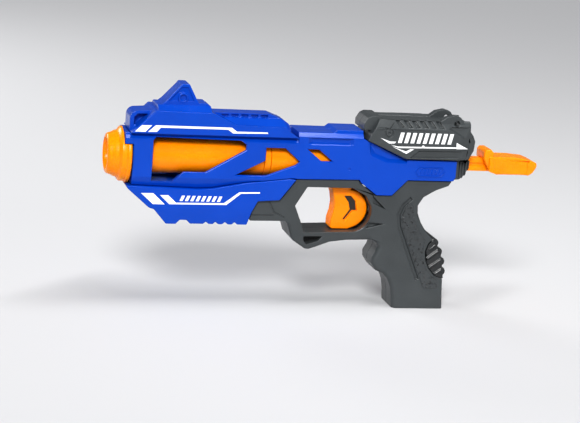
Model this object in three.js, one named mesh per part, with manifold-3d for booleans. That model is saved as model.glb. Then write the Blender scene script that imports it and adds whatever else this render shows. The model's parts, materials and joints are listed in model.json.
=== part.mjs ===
// A spring-powered toy dart blaster for soft foam darts, in millimetres, +Z up.
// The muzzle points along -X and the pull handle along +X; Y = 0 is the joint plane between the two
// halves of every moulded shell, and -Y is the left side. The pieces are laid out about the barrel
// axis, with X = 0 at the muzzle's front face, and one outer group then moves them, so that the
// origin lies on the surface that the grip's base stands on, under the middle of the toy's length.
import * as THREE from 'three';
import { mergeVertices } from 'three/addons/utils/BufferGeometryUtils.js';
import Module from 'manifold-3d';

const wasm = await Module();
wasm.setup();

// ---------- driving dimensions ----------
const overallLength = 295;
const axisHeight = 99;
const gap = 0.3;
const seam = gap / 2;
const wall = 2.2;

const bodyHalf = 15.5;
const lowerShroudHalf = 16.5;
const upperShroudHalf = 17;
const hoodHalf = 18;
const frameHalf = 14;
const triggerHalf = 6.5;

const barrelRadius = 12;
const boreRadius = 9.6;
const cylinderBore = 10.2;
const breechX = 104;
const cylinderEndX = 170;
const boreCutRadius = barrelRadius + 0.5;

const headX = 111.8;
const headLength = 6;
const primingStroke = 42;
const rodHalfHeight = 4.5;
const rodHalfWidth = 3.5;
const handleX = 260.5;
const handlePinX = handleX + 12;
const pinRadius = 1.5;
const pinBlindEnd = 6.4;

const triggerTravel = 6;
const catchX = 184;
const catchThickness = 3;
const triggerCentre = [164.8, -32.3];
const triggerRadius = 13.4;

const screwShank = 1.2;
const screwHead = 2.4;
const screwHeadHeight = 1.8;
const screwHeadDepth = 1.2;
const screwTipDepth = 3.6;
const screwHole = screwShank + gap;
const screwSink = screwHead + gap;
const screwSinkDepth = screwHeadDepth + screwHeadHeight + 0.4;
const screwHoleEnd = screwTipDepth - 0.6;
const bossSkin = 1;

const windowReach = 5;
const past = 20;

// ---------- finishes ----------
const blue = { color: 0x0a4fd6, roughness: 0.35, metalness: 0 };
const orange = { color: 0xff8a00, roughness: 0.35, metalness: 0 };
const darkGrey = { color: 0x44484a, roughness: 0.5, metalness: 0 };
const black = { color: 0x18191a, roughness: 0.6, metalness: 0 };
const steel = { color: 0xb4b7ba, roughness: 0.3, metalness: 1 };

// ---------- turning geometries into solids ----------
function solid(geometry) {
  geometry.deleteAttribute('normal');
  geometry.deleteAttribute('uv');
  const merged = mergeVertices(geometry, 1e-4);
  return new wasm.Manifold(new wasm.Mesh({
    numProp: 3,
    vertProperties: new Float32Array(merged.attributes.position.array),
    triVerts: new Uint32Array(merged.index.array),
  }));
}

function outline(points) {
  return new THREE.Shape(points.map(([a, b]) => new THREE.Vector2(a, b)));
}

function extruded(points, depth) {
  return new THREE.ExtrudeGeometry(outline(points), { depth, bevelEnabled: false, curveSegments: 8 });
}

// an (x, z) outline that fills the space between two planes of constant y
function sidePiece(points, yA, yB) {
  const geometry = extruded(points, Math.abs(yB - yA));
  geometry.rotateX(Math.PI / 2);
  geometry.translate(0, Math.max(yA, yB), 0);
  return solid(geometry);
}

// a (y, z) outline that fills the space between two planes of constant x
function crossPiece(points, xA, xB) {
  const geometry = extruded(points, xB - xA);
  const turn = new THREE.Matrix4().makeBasis(
    new THREE.Vector3(0, 1, 0), new THREE.Vector3(0, 0, 1), new THREE.Vector3(1, 0, 0));
  geometry.applyMatrix4(turn);
  geometry.translate(xA, 0, 0);
  return solid(geometry);
}

// a piece turned about the barrel axis, from (x, radius) points that start and end on it or close up
function turned(profile, segments = 32) {
  const points = profile.map(([x, r]) => new THREE.Vector2(r, x));
  const geometry = new THREE.LatheGeometry(points, segments);
  geometry.rotateZ(-Math.PI / 2);
  return solid(geometry);
}

function ring(xA, xB, inner, outer, segments = 32) {
  return turned([[xA, inner], [xB, inner], [xB, outer], [xA, outer], [xA, inner]].reverse(), segments);
}

function disc(xA, xB, radius, segments = 32) {
  return turned([[xA, 0], [xA, radius], [xB, radius], [xB, 0]], segments);
}

function box(xA, xB, yA, yB, zA, zB) {
  const geometry = new THREE.BoxGeometry(xB - xA, yB - yA, zB - zA);
  geometry.translate((xA + xB) / 2, (yA + yB) / 2, (zA + zB) / 2);
  return solid(geometry);
}

// a round bar across the toy, along y
function crossBar(x, z, radius, yA, yB, segments = 12) {
  const geometry = new THREE.CylinderGeometry(radius, radius, Math.abs(yB - yA), segments);
  geometry.translate(x, (yA + yB) / 2, z);
  return solid(geometry);
}

function cut(piece, ...tools) {
  return tools.reduce((result, tool) => result.subtract(tool), piece);
}

function join(piece, ...others) {
  return others.reduce((result, other) => result.add(other), piece);
}

// a closed outline moved inwards by a distance, corner by corner
function inset(points, distance) {
  const area = points.reduce((sum, [x, z], i) => {
    const [nx, nz] = points[(i + 1) % points.length];
    return sum + x * nz - nx * z;
  }, 0);
  const side = Math.sign(area) * distance;
  return points.map((point, i) => {
    const before = points[(i + points.length - 1) % points.length];
    const after = points[(i + 1) % points.length];
    const a = new THREE.Vector2(point[0] - before[0], point[1] - before[1]).normalize();
    const b = new THREE.Vector2(after[0] - point[0], after[1] - point[1]).normalize();
    const bisector = new THREE.Vector2(-a.y - b.y, a.x + b.x).normalize();
    const reach = side / Math.max(0.35, bisector.dot(new THREE.Vector2(-a.y, a.x)));
    return [point[0] + bisector.x * reach, point[1] + bisector.y * reach];
  });
}

function arcPoints(centre, radius, from, to, steps) {
  return Array.from({ length: steps + 1 }, (_, i) => {
    const angle = THREE.MathUtils.degToRad(from + ((to - from) * i) / steps);
    return [centre[0] + radius * Math.cos(angle), centre[1] + radius * Math.sin(angle)];
  });
}

// ---------- screws ----------
// Every screw enters from the right (+Y) side, in a sunk hole; the left shell holds its blind boss.
const bodyScrews = [[22, -15], [64, -15.2], [140, 16.1], [163, 16.1], [194.5, -13.4], [206, -7.2],
  [222, -7.2]];
const frameScrews = [[121.5, -24.5], [104.5, -33.5], [203.5, -16.5], [205, -56], [214, -88]];
const lowerScrews = [[44, -31], [86, -31]];
const upperScrews = [[47.8, 39.3], [96, 20.6]];
const hoodScrews = [[186, 22], [241, 14]];

function screwBoss([x, z], side, half) {
  return crossBar(x, z, screwSink + 1, side * seam, side * (half - bossSkin), 10);
}

function screwHoles([x, z], side, half) {
  const end = side < 0 ? half - screwHoleEnd : half + 1;
  const bore = crossBar(x, z, screwHole, 0, side * end, 10);
  return side < 0 ? bore : bore.add(crossBar(x, z, screwSink, half - screwSinkDepth, half + 1, 10));
}

function screw([x, z], half) {
  const headTop = half - screwHeadDepth;
  const headBase = headTop - screwHeadHeight;
  const tip = -(half - screwTipDepth);
  const points = [[tip, 0], [tip + 1, screwShank], [headBase, screwShank], [headBase, screwHead],
    [headTop - 0.6, screwHead], [headTop, screwHead * 0.7], [headTop, 0]];
  const geometry = new THREE.LatheGeometry(points.map(([y, r]) => new THREE.Vector2(r, y)), 8);
  geometry.translate(x, 0, z);
  return solid(geometry);
}

// fills the bosses of a shell half and drills its screw holes; halfOf gives the half-width at a screw
function withScrews(shell, screws, side, halfOf, bounds) {
  const bosses = screws.map((at) => screwBoss(at, side, halfOf(at)).intersect(bounds));
  return cut(join(shell, ...bosses), ...screws.map((at) => screwHoles(at, side, halfOf(at))));
}

// ---------- shared hollows ----------
const boreCut = turned([[3, 0], [3, boreCutRadius], [173.6, boreCutRadius], [173.6, 0]], 32);
const rodCut = box(172, 262, -rodHalfWidth - gap - 0.3, rodHalfWidth + gap + 0.3,
  -rodHalfHeight - gap, rodHalfHeight + gap);
const flangeCut = turned([[8, 0], [8, 19.4], [15.4, 19.4], [15.4, 0]], 32);
const triggerArmHalf = 2.6;
const armCut = sidePiece([[157, -19], [157, -11], [176, -11], [176, -8], [196, -8], [196, -17.5],
  [184, -17.5], [182, -19]], -triggerArmHalf - gap, triggerArmHalf + gap);
const catchHalf = 5.5;
const catchBottom = -15;
const catchPocketFloor = -19.7;
const catchCut = box(catchX - gap, catchX + catchThickness + gap, -catchHalf - gap, catchHalf + gap,
  catchPocketFloor, 1);

// ---------- body shells ----------
const deckZ = 20.2;
const saddleZ = 16.3;
const tongueX = 226;
const tongueHalf = 11;
const tongueLow = -7.3;
const tongueHigh = 6.9;
const bodyOutline = [[10.5, 9.3], [10.5, saddleZ], [125.2, saddleZ], [125.2, deckZ], [149, deckZ],
  [151.5, 22.2], [169.5, 22.2], [169.5, 17.2], [198.8, 3.9], [235.5, 3.9], [235.5, -7.3], [234.2, -9.8],
  [202.2, -9.9], [192, -20.7], [181.4, -20.7], [169.9, -12.4], [168.9, -10.6], [126.2, -11.2],
  [120.8, -10.8], [102.1, -12.9], [90.7, -14.2], [69.7, -18.4], [61, -19], [16, -17.7], [16, 9.3]];
const spineHalf = 12.6;
const spineOutline = [[160, 10], [170, 16.8], [190, 9], [235.5, 9], [235.5, -5], [160, -5]];

function windowOutlines() {
  const front = [[28.9, -15.2], [28.9, 12.2], [30.8, 14.1], [86.5, 13.4], [90.3, 11], [90.3, 7.4],
    [64, -8.2], [49.6, -8.2], [43, -14.9]];
  const middle = [[103.9, 9.4], [116.5, 9.4], [126.8, 0.6], [124.6, -1.6], [104.5, -9.4], [84.8, -9.4],
    [103.9, 0.6]];
  const rear = [[132, 9], [139.6, 9], [149, 1.4], [141.6, 1.4]];
  return [front, middle, rear];
}

// the sloping bands along the shoulder, the deck and the lower front edge, each sunk by a depth
function bodyChamfers(side, depth) {
  const at = (y) => side * (y - depth);
  return [
    crossPiece([[at(13.2), saddleZ + 1], [at(13.2), 15.2], [at(15.6), 12.8], [side * past, 12.8],
      [side * past, saddleZ + 1]], 8, 125.4),
    crossPiece([[at(12.9), 23], [at(12.9), deckZ], [at(15.6), 17.3], [side * past, 17.3],
      [side * past, 23]], 125, 169.6),
    crossPiece([[at(15.6), -11.9], [at(12.8), -19.1], [at(12.8), -25], [side * past, -25],
      [side * past, -11.9]], 9, 101)];
}

function bodyShell(side) {
  const edge = side * bodyHalf;
  const outer = cut(sidePiece(bodyOutline, side * seam, edge), ...bodyChamfers(side, 0));
  const spine = sidePiece(spineOutline, side * seam, side * spineHalf);
  const hollow = join(
    sidePiece([[18.4, -16], [18.4, 14], [127.4, 14], [127.4, 18], [167, 18], [167, 14.5], [174, 12.4],
      [182, 8.4], [190, 6.6], [233, 6.6], [233, -7.6], [201.2, -7.6], [191.2, -18.4], [182.2, -18.4],
      [170.6, -10.2], [169.8, -8.4], [124, -9], [101.4, -10.7], [90, -12], [69.2, -16.2], [61, -16.8]],
      -side, side * 10.6),
    sidePiece([[18.4, -10.8], [18.4, 12], [127.4, 12], [127.4, 15.5], [167, 15.5], [167, 14.5], [182, 8.4],
      [197, 1.6], [233, 1.6], [233, -7.6], [201.2, -7.6], [191.2, -18.4], [182.2, -18.4],
      [170.6, -10.2], [169.8, -8.4], [124, -9], [101.4, -10.7], [94, -10.8]],
      -side, side * (bodyHalf - wall)));
  const bounds = cut(sidePiece(inset(bodyOutline, 0.2), -side, side * (bodyHalf - 0.4)),
    ...bodyChamfers(side, 0.5));
  const shell = cut(join(outer, spine), hollow);
  const screwed = withScrews(shell, bodyScrews, side, () => bodyHalf, bounds);
  const windows = windowOutlines().map((points) => sidePiece(points, side * windowReach, side * past));
  const tailPlug = box(tongueX - gap, 240, -tongueHalf - gap, tongueHalf + gap,
    tongueLow - 0.5, tongueHigh + 0.5);
  return cut(screwed, ...windows, boreCut, rodCut, armCut, catchCut, tailPlug);
}

// ---------- upper shroud: the saddle over the barrel, with the sight tower and the top rail ----------
const shroudZ = saddleZ + gap;
const railTopZ = 30.3;
const railHalf = 7;
const towerHalf = 9;
const towerOutline = [[32, 32], [34.4, 35], [36.4, 36.6], [45.4, 46.6], [46.6, 48.3], [51.6, 48.3],
  [57, 38.2], [58.4, 36.1], [64, 36], [67.5, 31]];

function upperShroud(side) {
  const edge = side * upperShroudHalf;
  const panel = sidePiece([[13.6, shroudZ], [28.9, 31.8], [66.9, 31.2], [82.6, 24.1], [114.2, 23.6],
    [124.7, shroudZ]], side * seam, edge);
  const frontRoof = crossPiece([[side * seam, 28], [edge - side * 0.2, 29.4], [edge - side * 0.2, 30.8],
    [side * (towerHalf + 0.4), 34.6], [side * seam, 34.6]], 31, 66.2);
  const rearRoof = crossPiece([[side * seam, 20], [edge - side * 0.2, 20], [edge - side * 0.2, 23.2],
    [side * (railHalf + 1), 27.5], [side * seam, 27.5]], 70, 117).intersect(sidePiece(
    [[69, 19], [69, 29], [113, 29], [118.4, 23], [118, 19]], -side, side * 20));
  const rail = sidePiece([[66, 25], [69, railTopZ], [106.5, railTopZ], [116, 26.7], [119.8, 24], [122, 19]],
    side * seam, side * railHalf);
  const tower = sidePiece(towerOutline, side * seam, side * towerHalf);
  const towerTaper = crossPiece([[side * 8, 49], [side * towerHalf, 37], [side * 12, 37], [side * 12, 49]],
    30, 70);
  const block = sidePiece([[13.6, shroudZ], [13.6, 25], ...arcPoints([18.6, 25], 5, 180, 90, 5),
    [34, 31], [34, 20]], side * seam, side * 9.5);
  const pocket = sidePiece([[16.4, 21], [16.6, 26], [18.6, 28], [30, 28.2], [24, 21]], side * 5, side * 10);
  const scallops = [0, 1, 2, 3, 4].map((i) => sidePiece(
    arcPoints([76.5 + 6.6 * i, railTopZ - 1], 2.4, 180, 360, 6), side * (railHalf - 1.6), side * 8));
  const outer = cut(join(panel, rearRoof, frontRoof, rail, cut(tower, towerTaper), cut(block, pocket)),
    ...scallops);
  const hollow = join(
    sidePiece([[20, shroudZ + 2], [32, 29.2], [65.5, 28.8], [81.5, 21.8], [112, 21.4], [117, shroudZ + 2]],
      -side, side * (upperShroudHalf - wall)),
    sidePiece([[36, 25], [36, 32.6], [62, 32.6], [66, 28], [72, 27.6], [104, 27.6], [112, 24], [112, 20]],
      -side, side * (railHalf - 2)),
    sidePiece([[20, shroudZ - 1], [20, shroudZ + 3], [117, shroudZ + 3], [117, shroudZ - 1]],
      -side, side * 11));
  const bounds = join(cut(tower, towerTaper), panel);
  return withScrews(cut(outer, hollow), upperScrews, side, upperScrewHalf, bounds);
}

// the tower is narrower than the saddle, so its screw sits nearer the middle
function upperScrewHalf([, z]) {
  return z > railTopZ ? towerHalf : upperShroudHalf;
}

// ---------- lower shroud under the barrel ----------
const lowerOutline = [[12.3, -18], [61, -19.3], [69.8, -18.7], [90.8, -14.5], [102.2, -13.2],
  [120.9, -11.1], [125.4, -11.6], [115.2, -25.4], [100.4, -26.5], [96.9, -33.6], [94.2, -42.8],
  ...[3, 2, 1, 0].flatMap((i) => [[68.6 + 6.4 * i, -42.8], [66.8 + 6.4 * i, -41.2], [65 + 6.4 * i, -42.8]]),
  [56.2, -42.8], [53.8, -40.3], [49.2, -40.3], [46.8, -43.2], [40.2, -43.2], [31.6, -33.4],
  [28.3, -32.4], [13.6, -20]];

function lowerShroud(side) {
  const outer = sidePiece(lowerOutline, side * seam, side * lowerShroudHalf);
  const hollow = sidePiece([[18, -20.6], [61, -21.6], [70, -21], [91, -16.8], [102.4, -15.5], [119, -14],
    [112.5, -23.4], [99, -24.6], [94.7, -33], [92.4, -38.8], [43, -38.8], [32.6, -31.2], [29.4, -30.4]],
    -side, side * (lowerShroudHalf - wall));
  const bounds = sidePiece(inset(lowerOutline, 0.2), -side, side * (lowerShroudHalf - 0.4));
  const screwed = withScrews(cut(outer, hollow), lowerScrews, side, () => lowerShroudHalf, bounds);
  return cut(screwed, boreCut, flangeCut);
}

// ---------- grip frame: rail, trigger guard and grip in one moulding per side ----------
const gripBaseZ = -axisHeight;
const frameOutline = [[126.1, -11.8], [115.7, -25.7], [100.7, -26.9], [97.3, -33.8], [96.4, -40.2],
  [120.4, -39.9], [122.1, -41.8], [125.2, -51.3], [126.9, -53.2], [135.4, -58.8], [138.2, -59],
  [152.2, -53.8], [162.5, -52.4], [181.3, -51.8], [184.9, -53.3], [186.1, -56.4], [184.8, -60],
  [182.6, -64.1], [182.6, -68.3], [185.9, -73.1], [191, -75], [194.9, -79], [197.5, -84.8],
  [198.6, -91.1], [199.2, gripBaseZ], [235.2, gripBaseZ], [233.4, -79.4], [231.5, -67.5], [230.1, -61.2],
  [227.1, -55.2], [223.3, -49.9], [219.2, -46], [215.1, -40.1], [212.2, -33], [211.8, -27.5],
  [215.2, -21.9], [224.2, -16.1], [231.8, -13.2], [233.6, -10.2], [202.4, -10.3], [192.2, -21.1],
  [181.2, -21.1], [169.7, -12.8], [168.7, -11], [126.3, -11.6]];
const fingerHole = [[134.1, -16.6], [165, -16.6], [174.6, -21.6], [177.9, -27.5],
  ...arcPoints(triggerCentre, triggerRadius + 0.9, 12, -76, 8), [134.2, -47.4], [126.6, -29.5]];
const padOutline = [[224.6, -50.6], [221.2, -54], [219.6, -59], [220.6, -65.5], [223.4, -71],
  [227.6, -75.6], [233, -77.4], [240, -77.4], [240, -50.6]];

// everything forward of a line parallel to the grip's back edge, at some depth under it
function padCore(depth, half) {
  const line = [[221, -49], [223.5, -49.9], [227.1, -55.2], [230.1, -61.2], [231.5, -67.5], [233.6, -80]];
  const moved = line.map(([x, z]) => [x - depth, z]);
  return sidePiece([[200, -40], ...moved, [200, -85]].reverse(), -half, half);
}

function gripFrame(side) {
  const outer = sidePiece(frameOutline, side * seam, side * frameHalf);
  const hole = sidePiece(fingerHole, -side, side * 20);
  const chamber = sidePiece([...arcPoints([triggerCentre[0] + triggerTravel + 0.6, triggerCentre[1]],
    triggerRadius + 0.5, -70, 66, 12), [173.4, -16.8], [150, -16.8], [150, -46.6], [173.4, -46.6]],
    -side, side * (triggerHalf + 0.6));
  const springPocket = sidePiece([[176, -36.4], [194.4, -36.4], [194.4, -28.2], [176, -28.2]],
    -side, side * 4.1);
  const gripHollow = sidePiece([[197, -24], [208.5, -24], [208.5, -34], [211.5, -42], [216, -48.5],
    [216.6, -60], [219, -69], [226.5, -79.5], [230.6, -96], [203.4, -96], [201.4, -84.5], [197.5, -76],
    [189.5, -68.5], [188.4, -65.6], [191.5, -57]], -side, side * (frameHalf - wall));
  const guardSlot = sidePiece([[133.7, -50.2], [146.4, -50], [143.9, -53], [136, -55.6], [134, -53]],
    -side, side * 20);
  const wedges = [[[179.6, -21.6], [181.4, -23.6], [188.4, -30.2], [180, -26.4]],
    [[178.4, -39.6], [188, -40.6], [176.8, -43.6]]]
    .map((points) => sidePiece(points, side * (frameHalf - 2.6), side * 20));
  const padSeat = cut(sidePiece(inset(padOutline, -gap), -side, side * 20), padCore(2.2, frameHalf - 1.6));
  const bounds = sidePiece(inset(frameOutline, 0.2), -side, side * (frameHalf - 0.4));
  const screwed = withScrews(cut(outer, gripHollow), frameScrews, side, () => frameHalf, bounds);
  return cut(screwed, hole, chamber, springPocket, guardSlot, ...wedges, padSeat, boreCut, armCut);
}

function palmPad() {
  const outer = sidePiece(padOutline, -frameHalf - 0.5, frameHalf + 0.5);
  const envelope = padCore(-0.4, frameHalf + 1);
  return cut(outer.intersect(envelope), padCore(2.2 - gap, frameHalf - 1.6 + gap));
}

// ---------- rear hood over the tail ----------
const hoodOutline = [[171.5, 16.6], [174.6, 22], [179.8, 30.9], [226, 31], [243, 31], [243.6, 24],
  [246, 21], [248, 17.2], [247.4, 11], [243.6, 4.9], [199, 4.9]];
const lobeOutline = [[218.6, 28], [222.4, 31], [225.6, 33.4], [231.6, 34.8], [235.8, 33.6], [239.2, 28.8],
  [240.6, 26.2], [243.4, 24.2], [246, 20.9], [238, 18], [226, 20]];
const lobeInner = 9;
const lobeOuter = 14.6;
const hoodScrewHalf = 17.4;
const eyeX = 233.3;
const eyeZ = 29.3;
const eyeRadius = 2;

function rearHood(side) {
  const mass = crossPiece([[side * seam, 4], [side * hoodHalf, 4], [side * hoodHalf, 8], [side * 17.2, 24.9],
    [side * 13.4, 30.6], [side * 11.6, 31], [side * 10.8, 29.2], [side * seam, 29.2]], 165, 250);
  const cover = sidePiece(hoodOutline, side * seam, side * past).intersect(mass);
  const rearChamfer = (depth) => solid(extruded([[232, hoodHalf + 1 - depth], [250, 12 - depth], [250, 21],
    [232, 21]].map(([x, y]) => [x, side * y]), 60));
  const bridge = sidePiece([[169.9, 22.6], [169.9, 27], [172.4, 31], [175, 32.3], [181, 32.3], [184, 30],
    [184, 22.6]], side * seam, side * 12);
  const lobe = sidePiece(lobeOutline, side * lobeInner, side * lobeOuter);
  const hollow = sidePiece([[173, 12], [183, 26.6], [240, 26.6], [244, 17], [240.6, 0], [190, 0]], -side,
    side * (hoodHalf - wall - 0.6)).intersect(crossPiece([[-side, 0], [side * 15.4, 0], [side * 14.6, 23.8],
    [side * 11.4, 26.8], [-side, 26.8]], 165, 250));
  const eye = crossBar(eyeX, eyeZ, eyeRadius, side * 6, side * past, 12);
  const deck = sidePiece(inset(bodyOutline, -gap), side * -1, side * (bodyHalf + gap));
  const spine = sidePiece(inset(spineOutline, -gap), side * -1, side * (spineHalf + gap));
  const shell = cut(join(cut(cover, rearChamfer(0)), bridge, lobe), hollow);
  const bounds = cut(cover, rearChamfer(0.5));
  return cut(withScrews(shell, hoodScrews, side, () => hoodScrewHalf, bounds), eye, deck, spine, rodCut);
}

function rearCap() {
  const flare = crossPiece([[-12.4, -8], [-11, -9.6], [11, -9.6], [12.4, -8], [13.4, 4.2], [-13.4, 4.2]],
    235.9, 245).intersect(sidePiece([[235.9, -9.6], [240, -8.6], [242.8, -6], [245, -1], [245, 4.2],
    [235.9, 4.2]], -20, 20));
  const ribs = [0, 1, 2, 3].flatMap((i) => [-1, 1].map((side) => box(237.6 + 1.9 * i, 238.6 + 1.9 * i,
    side < 0 ? -15 : 11.6, side < 0 ? -11.6 : 15, -12, 6)));
  const tongue = box(tongueX, 236.2, -tongueHalf, tongueHalf, tongueLow, tongueHigh);
  return cut(join(cut(flare, ...ribs), tongue), rodCut);
}

// ---------- barrel group ----------
function muzzleRing() {
  const profile = [[0, 11], [0.8, 13.2], [3, 13.8], [5.2, 15], [7, 15.4], [8.6, 17.5], [9.4, 18], [12, 18],
    [12.4, 19], [15, 19], [15, barrelRadius + gap], [3.4, barrelRadius + gap], [3.4, boreRadius],
    [2, 9.9], [0, 11]];
  return cut(turned(profile, 32), box(10.2, 16, -20, 20, 8.9, 20));
}

function barrelTube() {
  return ring(3.8, breechX, boreRadius, barrelRadius, 40);
}

// the disc between barrel and cylinder, with the hollow post that a dart is pushed onto
function breechPlug() {
  const flange = disc(breechX + gap, breechX + 4.4, barrelRadius + 0.2, 40);
  const post = disc(breechX - 18, breechX + 1, 3.3, 16);
  const airWay = disc(breechX - 20, breechX + 6, 1.6, 12);
  return cut(join(flange, post), airWay);
}

function airCylinder() {
  return ring(breechX + 4.7, cylinderEndX, cylinderBore, barrelRadius + 0.1, 40);
}

function cylinderEndCap() {
  const plate = disc(cylinderEndX + gap, cylinderEndX + 3.2, barrelRadius + 0.1, 32);
  return cut(plate, box(165, 180, -rodHalfWidth - 0.4, rodHalfWidth + 0.4, -rodHalfHeight - 0.4,
    rodHalfHeight + 0.4));
}

// ---------- plunger group ----------
function plungerBumper() {
  return ring(headX - 2.1, headX - gap, 2.5, 8.6, 24);
}

function plungerHead() {
  return turned([[headX, 0], [headX, 9.7], [headX + 1.6, 9.7], [headX + 1.6, 8], [headX + 4.2, 8],
    [headX + 4.2, 9.7], [headX + headLength, 9.7], [headX + headLength, 0]], 32);
}

function plungerSeal() {
  const seal = arcPoints([headX + 2.9, 9.15], 0.85, 360, 0, 8);
  return turned(seal, 24);
}

// a bar with a sawtooth notch on its underside, which comes over the catch when it is drawn back
function plungerRod() {
  const bar = box(headX + headLength + gap, handleX + 22, -rodHalfWidth, rodHalfWidth,
    -rodHalfHeight, rodHalfHeight);
  const notchX = catchX - primingStroke - 0.5;
  const notch = sidePiece([[notchX, -5], [notchX, -2.6], [notchX + 7, -rodHalfHeight], [notchX + 7, -5]],
    -5, 5);
  const grooves = [-1, 1].map((side) => box(headX + headLength + 8, handleX - 2,
    side < 0 ? -5 : rodHalfWidth - 0.9, side < 0 ? -rodHalfWidth + 0.9 : 5, -1.1, 1.1));
  const pinHole = crossBar(handlePinX, 0, pinRadius + gap, -5, 5, 12);
  return cut(bar, notch, ...grooves, pinHole);
}

function pullHandle() {
  const grip = sidePiece([[handleX, -3.4], [handleX + 6.4, -5.7], [289.4, -5.5], [292.4, -3.6],
    [overallLength, 0.8], [294.4, 3.2], [288, 5.4], [278, 6.4], [handleX, 6.4]], -10, 10);
  const fin = sidePiece([[256.8, 4.6], [256.8, 9.6], [258, 11.2], [262, 11.2], [263.4, 9.4], [263.4, 5.8],
    [handleX + 0.5, -3]], -8.6, 8.6);
  const waist = [-1, 1].map((side) => solid(extruded([[264, side * 12], [264, side * 9.4], [270, side * 8.6],
    [282, side * 8.6], [288, side * 9.4], [288, side * 12]], 30).translate(0, 0, -15)));
  const socket = box(255, handleX + 22.4, -rodHalfWidth - gap, rodHalfWidth + gap, -rodHalfHeight - gap,
    rodHalfHeight + gap);
  const pinHole = crossBar(handlePinX, 0, pinRadius + gap, -pinBlindEnd - gap, 12, 12);
  return cut(join(cut(grip, ...waist), fin), socket, pinHole);
}

// the cross pin goes in from the right and stops short of the left side
function handlePin() {
  return crossBar(handlePinX, 0, pinRadius, -pinBlindEnd, 8.2, 12);
}

// ---------- trigger group ----------
function trigger() {
  const blade = sidePiece([[156.4, -17.2], [152.4, -17.6], [154.2, -23], [155.2, -28.6], [154.8, -34.8],
    [153.3, -40.3], [153.3, -45.2], [154.6, -46.2], [166, -46.2],
    ...arcPoints(triggerCentre, triggerRadius, -72, 66, 14), [166.6, -19.2], [166, -17.2]],
    -triggerHalf, triggerHalf);
  const arm = sidePiece([[158.5, -18.5], [158.5, -13], [173.9, -13], [177.6, -10.3], [188.2, -10.3],
    [188.2, -11.2], [187, -11.6], [178, -16.1], [168, -16.2], [168, -18.5]], -triggerArmHalf, triggerArmHalf);
  const badge = [[161.6, -23.4], [166.6, -23.4], [170, -27], [171.2, -33.6], [168, -33.6], [163.2, -40.4],
    [161.6, -39.6], [166.2, -32.6], [165, -28]];
  const badgeCuts = [-1, 1].map((side) => sidePiece(badge, side * (triggerHalf - 1.6), side * 9));
  return cut(join(blade, arm), ...badgeCuts);
}

function catchPlate() {
  const back = catchX + catchThickness;
  const plate = box(catchX, back, -catchHalf, catchHalf, catchBottom, -rodHalfHeight - 0.35);
  const window = sidePiece([[catchX - 1, -13.9], [back + 1, -11.4], [back + 1, -6.9], [catchX - 1, -6.9]],
    -triggerArmHalf - gap, triggerArmHalf + gap);
  return cut(plate, window);
}

// ---------- springs ----------
class Helix extends THREE.Curve {
  constructor(start, length, radius, turns, along) {
    super();
    Object.assign(this, { start, length, radius, turns, along });
  }

  getPoint(t, target = new THREE.Vector3()) {
    const angle = t * this.turns * 2 * Math.PI;
    const a = this.radius * Math.cos(angle);
    const b = this.radius * Math.sin(angle);
    const [x, y, z] = this.start;
    return this.along === 'x'
      ? target.set(x + t * this.length, y + a, z + b)
      : target.set(x + a, y + b, z + t * this.length);
  }
}

function coilSpring(start, length, radius, wire, turns, along, stepsPerTurn = 10) {
  const section = outline(arcPoints([0, 0], wire, 0, 288, 4));
  const extrudePath = new Helix(start, length, radius, turns, along);
  const steps = turns * stepsPerTurn;
  return solid(new THREE.ExtrudeGeometry(section, { steps, bevelEnabled: false, extrudePath }));
}

// ---------- assembly ----------
const barrelFrame = new THREE.Group();

function add(name, piece, finish) {
  const { vertProperties, triVerts } = piece.getMesh();
  const geometry = new THREE.BufferGeometry();
  geometry.setAttribute('position', new THREE.BufferAttribute(vertProperties, 3));
  geometry.setIndex(new THREE.BufferAttribute(triVerts, 1));
  geometry.computeVertexNormals();
  const mesh = new THREE.Mesh(geometry, new THREE.MeshStandardMaterial(finish));
  mesh.name = name;
  barrelFrame.add(mesh);
}

function addScrews(name, screws, halfOf) {
  screws.forEach((at, i) => add(`${name}_${i + 1}`, screw(at, halfOf(at)), steel));
}

const sides = { left: -1, right: 1 };
for (const [sideName, side] of Object.entries(sides)) {
  add(`body_shell_${sideName}`, bodyShell(side), blue);
  add(`upper_shroud_${sideName}`, upperShroud(side), blue);
  add(`lower_shroud_${sideName}`, lowerShroud(side), blue);
  add(`grip_frame_${sideName}`, gripFrame(side), darkGrey);
  add(`rear_hood_${sideName}`, rearHood(side), darkGrey);
}
add('rear_cap', rearCap(), darkGrey);
add('palm_pad', palmPad(), black);
add('muzzle_ring', muzzleRing(), orange);
add('barrel_tube', barrelTube(), orange);
add('breech_plug', breechPlug(), orange);
add('air_cylinder', airCylinder(), orange);
add('cylinder_end_cap', cylinderEndCap(), black);
add('plunger_bumper', plungerBumper(), black);
add('plunger_head', plungerHead(), orange);
add('plunger_seal', plungerSeal(), black);
add('plunger_rod', plungerRod(), orange);
add('pull_handle', pullHandle(), orange);
add('handle_pin', handlePin(), steel);
add('trigger', trigger(), orange);
add('catch_plate', catchPlate(), black);

const mainSpringStart = headX + headLength + 1.1;
const mainSpringLength = cylinderEndX - 0.8 - mainSpringStart;
add('main_spring', coilSpring([mainSpringStart, 0, 0], mainSpringLength, 7.8, 0.6, 6, 'x'), steel);
add('trigger_spring', coilSpring([178.9, 0, -32.3], 14.6, 2.9, 0.45, 5, 'x', 8), steel);
add('catch_spring', coilSpring([catchX + 1.5, 0, catchPocketFloor + 0.25], 4, 1.2, 0.15, 3, 'z', 8), steel);

addScrews('body_screw', bodyScrews, () => bodyHalf);
addScrews('frame_screw', frameScrews, () => frameHalf);
addScrews('lower_shroud_screw', lowerScrews, () => lowerShroudHalf);
addScrews('upper_shroud_screw', upperScrews, upperScrewHalf);
addScrews('hood_screw', hoodScrews, () => hoodScrewHalf);

barrelFrame.position.set(-overallLength / 2, 0, axisHeight);
const blaster = new THREE.Group();
blaster.add(barrelFrame);

export default blaster;
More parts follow.
